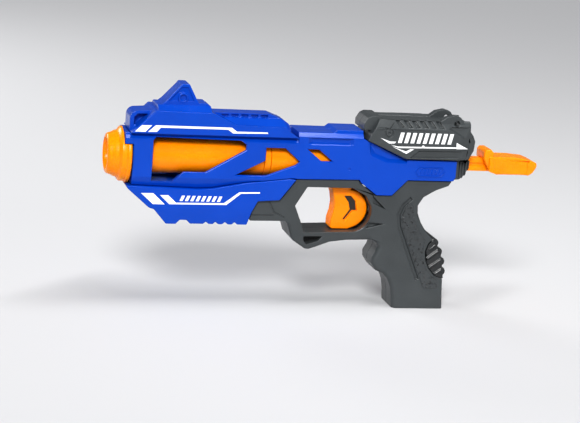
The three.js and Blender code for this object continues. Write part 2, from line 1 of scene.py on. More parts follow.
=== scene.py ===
import json
import math

import bmesh
import bpy
from mathutils import Matrix, Vector, noise


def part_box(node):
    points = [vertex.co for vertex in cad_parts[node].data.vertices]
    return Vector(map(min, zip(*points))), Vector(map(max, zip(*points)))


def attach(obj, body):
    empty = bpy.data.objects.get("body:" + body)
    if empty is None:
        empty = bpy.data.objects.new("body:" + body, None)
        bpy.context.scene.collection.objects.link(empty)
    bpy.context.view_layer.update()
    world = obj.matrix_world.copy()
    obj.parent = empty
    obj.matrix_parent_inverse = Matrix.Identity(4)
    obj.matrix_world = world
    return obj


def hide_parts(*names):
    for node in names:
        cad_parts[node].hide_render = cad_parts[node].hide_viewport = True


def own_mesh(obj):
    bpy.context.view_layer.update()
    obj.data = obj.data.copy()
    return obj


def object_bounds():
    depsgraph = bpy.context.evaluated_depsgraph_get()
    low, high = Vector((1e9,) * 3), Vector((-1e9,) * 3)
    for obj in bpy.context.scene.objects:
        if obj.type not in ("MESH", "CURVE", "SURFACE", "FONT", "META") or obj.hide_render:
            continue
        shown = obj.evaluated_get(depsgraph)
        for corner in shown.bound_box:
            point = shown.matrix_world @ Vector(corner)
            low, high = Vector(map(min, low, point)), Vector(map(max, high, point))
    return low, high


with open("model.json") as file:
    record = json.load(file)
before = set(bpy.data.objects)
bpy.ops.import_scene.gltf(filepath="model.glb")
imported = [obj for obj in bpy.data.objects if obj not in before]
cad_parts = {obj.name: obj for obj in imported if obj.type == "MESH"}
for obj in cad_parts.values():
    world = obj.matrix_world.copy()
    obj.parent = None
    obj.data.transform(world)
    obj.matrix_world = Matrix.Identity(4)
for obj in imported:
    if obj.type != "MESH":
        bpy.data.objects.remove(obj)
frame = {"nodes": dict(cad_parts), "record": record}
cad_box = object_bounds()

# Lengths below are in millimetres, measured from the barrel axis at the muzzle's front face: x runs back
# along the barrel, y to the shooter's right and z up. MM turns them into the frame's metres.
MM = 0.001
muzzle_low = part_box("muzzle_ring")[0]
tube_low, tube_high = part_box("barrel_tube")
ORIGIN = Vector((muzzle_low.x, 0, (tube_low.z + tube_high.z) / 2))
BODY_SIDE = -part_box("body_shell_left")[0].y / MM
UPPER_SIDE = -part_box("upper_shroud_left")[0].y / MM
LOWER_SIDE = -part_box("lower_shroud_left")[0].y / MM
HOOD_SIDE = -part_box("rear_hood_left")[0].y / MM
FRAME_SIDE = -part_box("grip_frame_left")[0].y / MM
TRIGGER_SIDE = -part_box("trigger")[0].y / MM
# In the functions below s is a side's sign, so that s * width is a place on that side.
SIDES = {"left": -1, "right": 1}
ROOT = "blaster_frame"
EDGE = 0.5
# PRINT_AND_SHADE_FILM is the thickness of the printed films and of the black sheet of painted shade in the
# trigger's recess.
PRINT_AND_SHADE_FILM = 0.07


def at(x, y, z):
    return ORIGIN + Vector((x, y, z)) * MM


def in_mm(point):
    return (point - ORIGIN) / MM


# ---------- solids ----------
def new_object(name, mesh):
    obj = bpy.data.objects.new(name, mesh)
    bpy.context.scene.collection.objects.link(obj)
    return obj


def mesh_from(name, bm):
    mesh = bpy.data.meshes.new(name)
    bmesh.ops.recalc_face_normals(bm, faces=bm.faces)
    bm.to_mesh(mesh)
    bm.free()
    return new_object(name, mesh)


def applied(obj):
    """Turns the object's modifiers into its mesh."""
    graph = bpy.context.evaluated_depsgraph_get()
    mesh = bpy.data.meshes.new_from_object(obj.evaluated_get(graph))
    obj.modifiers.clear()
    obj.data = mesh
    return obj


def prism(corners, near, far, place):
    """A prism between two planes; place turns (a, b, plane) into a point of the frame."""
    bm = bmesh.new()
    rings = [[bm.verts.new(place(a, b, c)) for a, b in corners] for c in (near, far)]
    bm.faces.new(rings[0])
    bm.faces.new(rings[1][::-1])
    for i in range(len(corners)):
        j = (i + 1) % len(corners)
        bm.faces.new((rings[0][j], rings[0][i], rings[1][i], rings[1][j]))
    return mesh_from("prism", bm)


def side_slab(points, y_near, y_far):
    return prism(points, y_near, y_far, lambda x, z, y: at(x, y, z))


def cross_slab(points, x_near, x_far):
    return prism(points, x_near, x_far, lambda y, z, x: at(x, y, z))


def wedge(*points):
    """The convex solid around some points."""
    bm = bmesh.new()
    for point in points:
        bm.verts.new(at(*point))
    result = bmesh.ops.convex_hull(bm, input=bm.verts)
    unused = [v for v in result["geom_interior"] if isinstance(v, bmesh.types.BMVert)]
    bmesh.ops.delete(bm, geom=unused, context="VERTS")
    return mesh_from("wedge", bm)


def arc(centre, radius, start, end, steps):
    angles = [math.radians(start + (end - start) * i / steps) for i in range(steps + 1)]
    return [(centre[0] + radius * math.cos(a), centre[1] + radius * math.sin(a)) for a in angles]


def circle(x, z, radius, steps=32):
    return arc((x, z), radius, 0, 360 * (steps - 1) / steps, steps - 1)


def strip(points, width):
    """The outline of a strip of one width along a line."""
    left, right = [], []
    for i, point in enumerate(points):
        before = Vector(points[max(i - 1, 0)])
        after = Vector(points[min(i + 1, len(points) - 1)])
        here = Vector(point)
        first = (here - before).normalized() if i else (after - here).normalized()
        second = (after - here).normalized() if i < len(points) - 1 else first
        normal = Vector((-first.y - second.y, first.x + second.x)).normalized()
        reach = width / 2 / max(0.4, normal.dot(Vector((-first.y, first.x))))
        left.append(tuple(here + normal * reach))
        right.append(tuple(here - normal * reach))
    return left + right[::-1]


def lathe(profile, segments=96, axis="x", centre=(0, 0)):
    """A turned piece, from a closed (along, radius) outline, about an axis along x or y."""
    bm = bmesh.new()
    rings = []
    for i in range(segments):
        c, s = math.cos(2 * math.pi * i / segments), math.sin(2 * math.pi * i / segments)
        rings.append([bm.verts.new(at(a, r * c, r * s) if axis == "x"
                                   else at(centre[0] + r * c, a, centre[1] + r * s)) for a, r in profile])
    for i in range(segments):
        one, two = rings[i], rings[(i + 1) % segments]
        for j in range(len(profile)):
            k = (j + 1) % len(profile)
            bm.faces.new((one[j], one[k], two[k], two[j]))
    bmesh.ops.remove_doubles(bm, verts=bm.verts, dist=1e-7)
    bmesh.ops.dissolve_degenerate(bm, edges=bm.edges, dist=1e-7)
    return mesh_from("turned", bm)


def boolean(obj, other, operation):
    modifier = obj.modifiers.new("boolean", "BOOLEAN")
    modifier.operation = operation
    modifier.solver = "EXACT"
    modifier.object = other
    applied(obj)
    bpy.data.objects.remove(other)
    return obj


def cut(obj, *tools):
    for tool in tools:
        boolean(obj, tool, "DIFFERENCE")
    return obj


def join(obj, *others):
    for other in others:
        boolean(obj, other, "UNION")
    return obj


def loose(*objects):
    """Several separate solids as one piece."""
    bm = bmesh.new()
    for obj in objects:
        bm.from_mesh(obj.data)
        bpy.data.objects.remove(obj)
    return mesh_from("group", bm)


def from_node(node):
    """A copy of a node's solid, to work on."""
    mesh = frame["nodes"][node].data.copy()
    mesh.materials.clear()
    return new_object(node + "_copy", mesh)


def flat_faces(bm):
    bmesh.ops.remove_doubles(bm, verts=bm.verts, dist=2e-5)
    bmesh.ops.dissolve_limit(bm, angle_limit=math.radians(1), verts=bm.verts, edges=bm.edges)


def free_length(edge, vert):
    """How much room a rounding has at one end of an edge: the shortest edge that crosses it there."""
    along = (edge.other_vert(vert).co - vert.co).normalized()
    crossing = []
    for other in vert.link_edges:
        way = (other.other_vert(vert).co - vert.co).normalized()
        if other is not edge and abs(way.dot(along)) < 0.8:
            crossing.append(other.calc_length())
    return min(crossing, default=1.0)


def bevelled(obj, width, segments):
    bevel = obj.modifiers.new("rounded edges", "BEVEL")
    bevel.width = width * MM
    bevel.segments = segments
    bevel.limit_method = "WEIGHT"
    bevel.use_clamp_overlap = False
    return applied(obj)


def rolled_over(obj, width, width_at, segments=8):
    """Gives chosen edges a wide rounding, before the details are cut. width_at(point) is a width or None."""
    bm = bmesh.new()
    bm.from_mesh(obj.data)
    flat_faces(bm)
    weight = bm.edges.layers.float.new("bevel_weight_edge")
    for edge in bm.edges:
        if len(edge.link_faces) == 2 and edge.calc_face_angle(0) > math.radians(40):
            edge[weight] = (width_at(in_mm((edge.verts[0].co + edge.verts[1].co) / 2)) or 0) / width
    bm.to_mesh(obj.data)
    bm.free()
    bevelled(obj, width, segments)
    obj.data.attributes.remove(obj.data.attributes["bevel_weight_edge"])
    return obj


def rounded(obj, width=EDGE, width_at=None, segments=2, angle=16):
    """Rounds the sharp edges as a mould does. width_at(point) gives the width near a point, or None."""
    bm = bmesh.new()
    bm.from_mesh(obj.data)
    flat_faces(bm)
    bmesh.ops.connect_verts_concave(bm, faces=[f for f in bm.faces if len(f.verts) > 4])
    weight = bm.edges.layers.float.new("bevel_weight_edge")
    sharp = [e for e in bm.edges if len(e.link_faces) == 2 and e.calc_face_angle(0) > math.radians(angle)]
    sizes = {}
    for edge in sharp:
        middle = in_mm((edge.verts[0].co + edge.verts[1].co) / 2)
        wanted = (width_at(middle) if width_at else None) or width
        room = min(free_length(edge, vert) for vert in edge.verts) / MM
        sizes[edge] = max(0.04, min(wanted, 0.45 * room))
    widest = max(sizes.values())
    for edge, size in sizes.items():
        edge[weight] = size / widest
    bm.to_mesh(obj.data)
    bm.free()
    return smooth(bevelled(obj, widest, segments if widest < 1 else segments + 1))


def smooth(obj, angle=34):
    bm = bmesh.new()
    bm.from_mesh(obj.data)
    bmesh.ops.remove_doubles(bm, verts=bm.verts, dist=4e-6)
    bmesh.ops.triangulate(bm, faces=[f for f in bm.faces if len(f.verts) > 4], ngon_method="BEAUTY")
    bm.to_mesh(obj.data)
    bm.free()
    for polygon in obj.data.polygons:
        polygon.use_smooth = True
    obj.data.set_sharp_from_angle(angle=math.radians(angle))
    weighted = obj.modifiers.new("weighted normals", "WEIGHTED_NORMAL")
    weighted.keep_sharp = True
    return applied(obj)


def piece(obj, name, body, slot, material, *nodes):
    obj.name = name
    obj.data.name = name
    obj.data.materials.clear()
    obj.data.materials.append(material)
    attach(obj, body)
    if nodes:
        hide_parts(*nodes)
    return obj


# ---------- materials ----------
def node_group(name, inputs, outputs):
    tree = bpy.data.node_groups.new(name, "ShaderNodeTree")
    for label, value in inputs:
        socket = tree.interface.new_socket(name=label, in_out="INPUT", socket_type="NodeSocketFloat")
        socket.default_value = value
    for label in outputs:
        tree.interface.new_socket(name=label, in_out="OUTPUT", socket_type="NodeSocketFloat")
    return tree, tree.nodes.new("NodeGroupInput"), tree.nodes.new("NodeGroupOutput")


def math_node(tree, operation, first, second):
    node = tree.nodes.new("ShaderNodeMath")
    node.operation = operation
    for socket, value in zip(node.inputs, (first, second)):
        if isinstance(value, (int, float)):
            socket.default_value = value
        else:
            tree.links.new(value, socket)
    return node.outputs[0]


def texture(tree, kind, scale, detail=2.0):
    node = tree.nodes.new(kind)
    if isinstance(scale, (int, float)):
        node.inputs["Scale"].default_value = scale
    else:
        tree.links.new(scale, node.inputs["Scale"])
    node.inputs["Detail"].default_value = detail
    place = tree.nodes.new("ShaderNodeTexCoord")
    tree.links.new(place.outputs["Object"], node.inputs["Vector"])
    return node


def spark_finish_group():
    """The spark-eroded texture of a mould: Height for a bump, Speck for its dots."""
    tree, given, result = node_group("spark_finish", [("Grain Size", 900.0), ("Speck Depth", 0.0)],
                                     ["Height", "Speck"])
    grain = texture(tree, "ShaderNodeTexNoise", given.outputs["Grain Size"], 3.0)
    coarse = texture(tree, "ShaderNodeTexNoise",
                     math_node(tree, "MULTIPLY", given.outputs["Grain Size"], 0.35), 1.0)
    speck = tree.nodes.new("ShaderNodeMapRange")
    speck.inputs["From Min"].default_value = 0.56
    speck.inputs["From Max"].default_value = 0.68
    tree.links.new(coarse.outputs["Fac"], speck.inputs["Value"])
    depth = math_node(tree, "MULTIPLY", speck.outputs["Result"], given.outputs["Speck Depth"])
    tree.links.new(math_node(tree, "ADD", grain.outputs["Fac"], depth), result.inputs["Height"])
    tree.links.new(speck.outputs["Result"], result.inputs["Speck"])
    return tree


def flow_mottle_group():
    """Slow changes of shade where the plastic flowed and was handled."""
    tree, given, result = node_group("flow_mottle", [("Patch Size", 22.0), ("Streak", 0.5)],
                                     ["Mottle", "Smudge"])
    cloud = texture(tree, "ShaderNodeTexNoise", given.outputs["Patch Size"], 4.0)
    smudge_size = math_node(tree, "MULTIPLY", given.outputs["Patch Size"], 4.2)
    smudge = texture(tree, "ShaderNodeTexNoise", smudge_size, 5.0)
    mixed = math_node(tree, "MULTIPLY", smudge.outputs["Fac"], given.outputs["Streak"])
    tree.links.new(math_node(tree, "ADD", cloud.outputs["Fac"], math_node(tree, "SUBTRACT", mixed, 0.25)),
                   result.inputs["Mottle"])
    tree.links.new(smudge.outputs["Fac"], result.inputs["Smudge"])
    return tree


SPARK_FINISH = spark_finish_group()
FLOW_MOTTLE = flow_mottle_group()


def group_node(tree, group, values):
    node = tree.nodes.new("ShaderNodeGroup")
    node.node_tree = group
    for label, value in values.items():
        node.inputs[label].default_value = value
    return node


def ramp(tree, source, low, high):
    """Maps a 0 to 1 value to a range, or to a blend of two colours."""
    if isinstance(low, tuple):
        node = tree.nodes.new("ShaderNodeMix")
        node.data_type = "RGBA"
        node.inputs["A"].default_value = (*low, 1)
        node.inputs["B"].default_value = (*high, 1)
        tree.links.new(source, node.inputs["Factor"])
        return node.outputs["Result"]
    node = tree.nodes.new("ShaderNodeMapRange")
    node.inputs["To Min"].default_value = low
    node.inputs["To Max"].default_value = high
    tree.links.new(source, node.inputs["Value"])
    return node.outputs["Result"]


def finish(name, colours, roughness, grain, bump, speck=0.0, coat=0.0, metallic=0.0, specular=0.5,
           glow=0.0, painted_pit_shade=None):
    """A surface with a mottled colour and gloss over the fine texture that its mould or its making left.
    glow lets light through translucent plastic, and the pit colour is painted shade, laid on the specks of
    its grain as if they were shaded hollows."""
    material = bpy.data.materials.new(name)
    material.use_nodes = True
    tree = material.node_tree
    shader = tree.nodes["Principled BSDF"]
    mottle = group_node(tree, FLOW_MOTTLE, {"Patch Size": 22.0, "Streak": 0.5})
    spark = group_node(tree, SPARK_FINISH, {"Grain Size": grain, "Speck Depth": speck})
    colour = ramp(tree, mottle.outputs["Mottle"], *colours)
    # Painted shade: the speck dots take the darker pit colour, standing in for shade in the hollows of the
    # grain.
    if painted_pit_shade:
        pit_shade_mix = tree.nodes.new("ShaderNodeMix")
        pit_shade_mix.data_type = "RGBA"
        pit_shade_mix.inputs["B"].default_value = (*painted_pit_shade, 1)
        tree.links.new(colour, pit_shade_mix.inputs["A"])
        tree.links.new(spark.outputs["Speck"], pit_shade_mix.inputs["Factor"])
        colour = pit_shade_mix.outputs["Result"]
    tree.links.new(colour, shader.inputs["Base Color"])
    tree.links.new(ramp(tree, mottle.outputs["Smudge"], *roughness), shader.inputs["Roughness"])
    relief = tree.nodes.new("ShaderNodeBump")
    relief.inputs["Strength"].default_value = 0.7
    relief.inputs["Distance"].default_value = bump * MM
    tree.links.new(spark.outputs["Height"], relief.inputs["Height"])
    tree.links.new(relief.outputs["Normal"], shader.inputs["Normal"])
    shader.inputs["Metallic"].default_value = metallic
    shader.inputs["Coat Weight"].default_value = coat
    shader.inputs["Coat Roughness"].default_value = 0.15
    shader.inputs["Specular IOR Level"].default_value = specular
    shader.inputs["Subsurface Weight"].default_value = glow
    shader.inputs["Subsurface Radius"].default_value = (1.0, 0.15, 0.03)
    shader.inputs["Subsurface Scale"].default_value = 2 * MM
    return material


BLUE = finish("royal_blue_plastic", ((0.0, 0.050, 0.38), (0.0, 0.066, 0.48)), (0.18, 0.28),
              grain=1100.0, bump=0.03, specular=0.3)
ORANGE = finish("orange_plastic", ((1.0, 0.22, 0.0), (1.0, 0.33, 0.0)), (0.2, 0.34),
                grain=1100.0, bump=0.03, specular=0.25, glow=0.2)
GREY = finish("dark_grey_plastic", ((0.036, 0.041, 0.043), (0.058, 0.065, 0.068)), (0.3, 0.46),
              grain=1500.0, bump=0.06, speck=0.5, coat=0.1, specular=0.4)
# The pebbled finish paints shade into its grain: its pit colour darkens the speck dots.
PEBBLED = finish("pebbled_grey_plastic", ((0.026, 0.030, 0.032), (0.050, 0.056, 0.059)), (0.14, 0.26),
                 grain=1200.0, bump=0.1, speck=1.5, coat=0.3, painted_pit_shade=(0.012, 0.014, 0.015))
BLACK = finish("black_nylon", ((0.016, 0.016, 0.017), (0.030, 0.030, 0.031)), (0.45, 0.6),
               grain=1300.0, bump=0.04)
RUBBER = finish("black_rubber", ((0.011, 0.012, 0.013), (0.022, 0.024, 0.025)), (0.24, 0.38),
                grain=1000.0, bump=0.04, coat=0.15)
WHITE_INK = finish("white_pad_print", ((0.84, 0.85, 0.86), (0.93, 0.93, 0.93)), (0.35, 0.5),
                   grain=1800.0, bump=0.01)
# This black is painted shade, laid as a sheet on the floor of the trigger's recess.
BLACK_SHADE_SHEET = finish("black_painted_shade_sheet", ((0.012, 0.010, 0.009), (0.030, 0.024, 0.020)), (0.4, 0.55),
                   grain=1800.0, bump=0.01)
STEEL = finish("bright_steel", ((0.45, 0.46, 0.48), (0.66, 0.67, 0.68)), (0.2, 0.38),
               grain=2400.0, bump=0.01, metallic=1.0)


# ---------- body shells ----------
WINDOW_RIM = 0.9
LEDGE_DEPTH, FACET_DEPTH = 1.7, 2.0


def body_edges(point):
    if abs(point.y) < 1:
        return 0.15
    if 128 < point.x < 166 and 11.5 < point.z < 17.5:
        return 0.25
    if abs(point.y) > BODY_SIDE - 0.4 and 26 < point.x < 150 and -15.6 < point.z < 14.4:
        return WINDOW_RIM
    return EDGE


def tail_badge(s):
    """A raised six-sided frame round a row of plain bars, near the tail."""
    middle_z, half, rim = -3.75, 3.2, 0.6
    outer = [(206.4, middle_z), (208.8, middle_z + half), (225.4, middle_z + half), (227.8, middle_z),
             (225.4, middle_z - half), (208.8, middle_z - half)]
    inner = [(207.2, middle_z), (209.1, middle_z + half - rim), (225.1, middle_z + half - rim),
             (227, middle_z), (225.1, middle_z - half + rim), (209.1, middle_z - half + rim)]
    base, top = s * (BODY_SIDE - 0.6), s * (BODY_SIDE + 0.5)
    hollow = side_slab(inner, s * (BODY_SIDE - 1), s * (BODY_SIDE + 1))
    bars = []
    for i in range(6):
        x = 210.6 + 2.6 * i
        bars.append(side_slab(strip([(x, -5.4), (x + 0.8, -2.1)], 1.1), base, top))
    return [cut(side_slab(outer, base, top), hollow)] + bars


def body_shell(side):
    s = SIDES[side]
    face, outside = s * BODY_SIDE, s * (BODY_SIDE + 2)
    ledge_floor, facet_floor = s * (BODY_SIDE - LEDGE_DEPTH), s * (BODY_SIDE - FACET_DEPTH)
    ledge = wedge(*[(x, y, z) for y in (face + s * 0.2, outside) for x, z in
                    ((131.2, 16.9), (131.2, 12.9), (133.5, 12.0), (161, 12.0), (163, 13.0), (163, 16.9))],
                  *[(x, ledge_floor, z) for z in (13.6, 16.9) for x in (134.5, 160.5)])
    hood_facet = wedge(*[(x, y, z) for y in (face + s * 0.2, outside) for x, z in
                         ((173.4, 15.4), (174.8, 5.8), (185.6, 1.6), (200.4, 1.4), (200.4, 5.6))],
                       *[(x, facet_floor, z) for x, z in
                         ((174.8, 13.4), (178.6, 8.0), (188.0, 4.0), (200.4, 3.8), (200.4, 5.6))])
    pin_mark = side_slab(circle(161, -3.4, 0.9, 16), s * (BODY_SIDE - 0.4), outside)
    shell = cut(from_node(f"body_shell_{side}"), ledge, hood_facet, pin_mark)
    join(shell, *tail_badge(s))
    return rounded(shell, width_at=body_edges)


# ---------- upper shroud ----------
TOWER_BOSS = (47.8, 39.3)
TOWER_SLOPE_START = 37.0


def tower_face(z):
    return 9 - max(0.0, z - TOWER_SLOPE_START) / 12


def upper_edges(point):
    if abs(point.y) < 1:
        return 0.15
    if point.x < 30 and abs(point.y) > UPPER_SIDE - 0.5 and point.z > 17:
        return 1.3
    return 0.8 if abs(point.y) > UPPER_SIDE - 0.5 else 0.5


def tower_recess(s, depth=0.9):
    corners = [(38.6, 37.0), (46.9, 46.2), (50.8, 46.2), (55.2, 37.0)]
    inside = [(x, s * (tower_face(z) - depth), z) for x, z in corners]
    return wedge(*inside, *[(x, s * 12, z) for x, z in corners])


def upper_shroud(side):
    s = SIDES[side]
    shell = cut(from_node(f"upper_shroud_{side}"), tower_recess(s))
    if s < 0:
        x, z = TOWER_BOSS
        boss = side_slab(circle(x, z, 3.3), s * 7.6, s * (tower_face(z) + 0.35))
        dimple = side_slab(circle(x, z, 2.0), s * (tower_face(z) - 1.0), s * 12)
        shell = cut(join(shell, boss), dimple)
    return rounded(shell, width_at=upper_edges)


# ---------- lower shroud ----------
def lower_edges(point):
    if abs(point.y) < 1:
        return 0.15
    if abs(point.y) > LOWER_SIDE - 0.5 and point.z > -24:
        return 0.8
    return EDGE


def lower_shroud(side):
    s = SIDES[side]
    face = s * LOWER_SIDE
    keel = cross_slab([(face, -31.5), (s * (LOWER_SIDE - 1.7), -43.6), (s * (LOWER_SIDE - 1.7), -46),
                       (s * (LOWER_SIDE + 1), -46), (s * (LOWER_SIDE + 1), -31.5)], 20, 100)
    return rounded(cut(from_node(f"lower_shroud_{side}"), keel), width_at=lower_edges)


# ---------- grip frame ----------
FRONT_STRAP = [(182, -52), (184.9, -53.3), (186.1, -56.4), (184.8, -60), (182.6, -64.1), (182.6, -68.3),
               (185.9, -73.1), (191, -75), (194.9, -79), (197.5, -84.8), (198.6, -91.1), (199.2, -99)]
BACK_STRAP = [(224.2, -16.1), (215.2, -21.9), (211.8, -27.5), (212.2, -33), (215.1, -40.1), (219.2, -46),
              (223.3, -49.9), (227.1, -55.2), (230.1, -61.2), (231.5, -67.5), (233.4, -79.4), (235.2, -99)]
GUARD = [(122.1, -41.8), (125.2, -51.3), (126.9, -53.2), (135.4, -58.8), (138.2, -59), (152.2, -53.8),
         (162.5, -52.4), (181.3, -51.8)]
GRIP_GROOVE = [(206.4, -22.6), (201.2, -27.4), (198.5, -34.2), (199.6, -42.2), (207.6, -60.6), (215.4, -78.6)]
STRAP_ROUND = 3.4
PANEL = [(206.0, -25.0), (208.2, -28.2), (208.5, -33.6), (211.4, -41.2), (215.8, -47.4), (218.8, -51.0),
         (217.9, -54.4), (217.5, -59), (218.8, -66.2), (222.0, -72.3), (226.8, -77.0), (229.2, -78.6),
         (229.8, -84.5), (220.2, -84.5), (201.6, -42), (200.4, -35), (202.7, -28.6)]


def near(line, point, reach=0.5):
    here = Vector((point.x, point.z))
    for a, b in zip(line, line[1:]):
        a, b = Vector(a), Vector(b)
        t = max(0, min(1, (here - a).dot(b - a) / (b - a).length_squared))
        if (a + (b - a) * t - here).length < reach:
            return True
    return False


def strap_edges(point):
    if abs(point.y) < FRAME_SIDE - 0.3:
        return None
    if near(FRONT_STRAP, point):
        return STRAP_ROUND
    if near(BACK_STRAP, point):
        return 2.0 if point.z > -38 or point.z < -80 else None
    return 1.5 if near(GUARD, point) else None


def frame_edges(point):
    if abs(point.y) < 1:
        return 0.15
    if abs(point.y) > FRAME_SIDE - 0.3 and 126 < point.x < 180 and -48 < point.z < -16:
        return 0.9
    return EDGE


def grip_frame(side):
    s = SIDES[side]
    outside = s * (FRAME_SIDE + 1)
    groove_floor, line_floor = s * (FRAME_SIDE - 1.6), s * (FRAME_SIDE - 0.5)
    groove = side_slab(strip(GRIP_GROOVE, 2.3), groove_floor, outside)
    lines = [side_slab(strip(points, 0.7), line_floor, outside) for points in (
        [(107.4, -24.4), (109.0, -27.3), (112.1, -33.7), (119.8, -37.6)], [(96, -36.3), (112, -36.1)],
        [(122.6, -40.8), (125.6, -49.4)])]
    shell = rolled_over(from_node(f"grip_frame_{side}"), STRAP_ROUND, strap_edges)
    return rounded(cut(shell, groove, *lines), width_at=frame_edges, angle=28)


def pebble_height(x, z, s):
    """The leather-like relief of the panel behind the groove."""
    coarse = noise.noise(Vector((x * 0.85, z * 0.85, s * 4.0)))
    fine = noise.noise(Vector((x * 2.1, z * 2.1, s * 9.0)))
    return 0.48 + 0.36 * coarse + 0.2 * fine


PANEL_CORNER, PANEL_LENGTH, PANEL_HEIGHT, PEBBLE_STEP = (198, -86), 34, 64, 0.7


def pebbled_panel(s):
    columns, rows = int(PANEL_LENGTH / PEBBLE_STEP), int(PANEL_HEIGHT / PEBBLE_STEP)
    bm = bmesh.new()
    grid = {}
    for i in range(columns + 1):
        for j in range(rows + 1):
            x, z = PANEL_CORNER[0] + i * PEBBLE_STEP, PANEL_CORNER[1] + j * PEBBLE_STEP
            grid[i, j, 1] = bm.verts.new(at(x, s * (FRAME_SIDE + pebble_height(x, z, s)), z))
            grid[i, j, 0] = bm.verts.new(at(x, s * (FRAME_SIDE - 0.4), z))
    for i in range(columns):
        for j in range(rows):
            for k in (0, 1):
                bm.faces.new((grid[i, j, k], grid[i + 1, j, k], grid[i + 1, j + 1, k], grid[i, j + 1, k]))
    rim = ([(i, 0) for i in range(columns)] + [(columns, j) for j in range(rows)]
           + [(i, rows) for i in range(columns, 0, -1)] + [(0, j) for j in range(rows, 0, -1)])
    for a, b in zip(rim, rim[1:] + rim[:1]):
        bm.faces.new((grid[*a, 0], grid[*b, 0], grid[*b, 1], grid[*a, 1]))
    panel = mesh_from("panel", bm)
    boolean(panel, side_slab(PANEL, s * (FRAME_SIDE - 0.3), s * (FRAME_SIDE + 1)), "INTERSECT")
    return smooth(panel, 50)


# ---------- palm pad ----------
PAD_BUMPS = [(225.2, -53.0), (228.3, -59.2), (230.6, -65.8), (231.6, -72.6)]
PAD_RIBS = [[(221.9, -57.6), (226.0, -54.0)], [(221.0, -64.0), (228.6, -58.0)],
            [(222.8, -70.2), (231.0, -64.2)], [(227.2, -74.6), (232.0, -71.2)]]
PAD_FLAT = [(200, -50), (222.2, -50), (225.3, -55.6), (228.2, -61.6), (229.6, -67.6), (231.0, -80),
            (200, -85)]


def pad_edges(point):
    return 0.9 if abs(point.y) > FRAME_SIDE and near(BACK_STRAP, point, 3.2) else 0.45


def ridge(line, s, base, top, foot, crest):
    """A straight ridge on the side, narrower at its crest."""
    return wedge(*[(x, s * base, z) for x, z in strip(line, foot)],
                 *[(x, s * top, z) for x, z in strip(line, crest)])


def palm_pad():
    pad = from_node("palm_pad")
    for x, z in PAD_BUMPS:
        bump = side_slab(circle(x, z, 3.1, 24), -FRAME_SIDE, FRAME_SIDE)
        join(pad, cut(bump, side_slab(PAD_FLAT, -20, 20)))
    for s in SIDES.values():
        join(pad, *[ridge(line, s, FRAME_SIDE, FRAME_SIDE + 1.5, 3.0, 1.3) for line in PAD_RIBS])
    return rounded(pad, width_at=pad_edges)


# ---------- rear hood ----------
HOOD_KNEE, HOOD_SHOULDER, HOOD_TOP = 8.0, 24.9, 30.6
SHOULDER_HALF, TOP_HALF = 17.2, 13.4


def hood_face(z):
    """The half-width of the hood's side at a height: upright, then leaning in, then the steep shoulder."""
    if z < HOOD_KNEE:
        return HOOD_SIDE
    if z < HOOD_SHOULDER:
        return HOOD_SIDE + (SHOULDER_HALF - HOOD_SIDE) * (z - HOOD_KNEE) / (HOOD_SHOULDER - HOOD_KNEE)
    return SHOULDER_HALF + (TOP_HALF - SHOULDER_HALF) * (z - HOOD_SHOULDER) / (HOOD_TOP - HOOD_SHOULDER)


def hood_cut(s, corners, depth):
    """A cutter that sinks a convex outline into the hood's side."""
    inside = [(x, s * (hood_face(z) - depth), z) for x, z in corners]
    return wedge(*inside, *[(x, s * (HOOD_SIDE + 2), z) for x, z in corners])


def hood_edges(point):
    if abs(point.y) < 1:
        return 0.15
    if abs(point.y) > 16.6 and (point.z < 6 or point.x < 190 or point.x > 240):
        return 0.9
    return 0.45


SLOT_COUNT, SLOT_PITCH, SLOT_DEPTH = 6, 5.6, 1.6
STEP_DEPTH, POCKET_DEPTH, RING_DEPTH = 0.9, 1.3, 0.6
HOOD_SCREW = (186, 22)


def rear_hood(side):
    s = SIDES[side]
    shell = from_node(f"rear_hood_{side}")
    slots = [hood_cut(s, [(x, 26.0), (x + 2.8, 26.0), (x - 0.4, 30.5), (x - 3.2, 30.5)], SLOT_DEPTH)
             for x in [193.6 + SLOT_PITCH * i for i in range(SLOT_COUNT)]]
    rear_step = hood_cut(s, [(227.6, 25.6), (249, 15.2), (249, 27), (229, 27)], STEP_DEPTH)
    pocket = hood_cut(s, [(201.6, 5.9), (207.4, 10.8), (238.6, 11.2), (243.4, 6.8)], POCKET_DEPTH)
    cut(shell, *slots, rear_step, pocket)
    if s < 0:
        floor, outside = s * (hood_face(HOOD_SCREW[1]) - RING_DEPTH), s * (HOOD_SIDE + 2)
        ring = cut(side_slab(circle(*HOOD_SCREW, 3.0), floor, outside),
                   side_slab(circle(*HOOD_SCREW, 2.1), s * 10, outside + s))
        cut(shell, ring, side_slab(circle(*HOOD_SCREW, 0.8, 16), floor, outside))
    return rounded(shell, width_at=hood_edges)


# ---------- trigger and pull handle ----------
TRIGGER_FRONT = [(152.4, -17.6), (154.2, -23), (155.2, -28.6), (154.8, -34.8), (153.3, -40.3), (153.3, -45.2)]


def trigger_edges(point):
    if abs(point.y) > TRIGGER_SIDE - 0.3 and point.z < -17.4:
        return 1.3 if not (160 < point.x < 172 and -41 < point.z < -22.5) else 0.4
    return 0.4


FLUTE_DEPTH, FLUTE_HALF = 0.7, 0.5


def trigger():
    outline = [(x + FLUTE_DEPTH, z) for x, z in TRIGGER_FRONT] + [(148, -45.2), (148, -17.6)]
    flutes = [side_slab(outline, y - FLUTE_HALF, y + FLUTE_HALF) for y in (-3.9, -1.3, 1.3, 3.9)]
    return rounded(cut(from_node("trigger"), *flutes), width_at=trigger_edges)


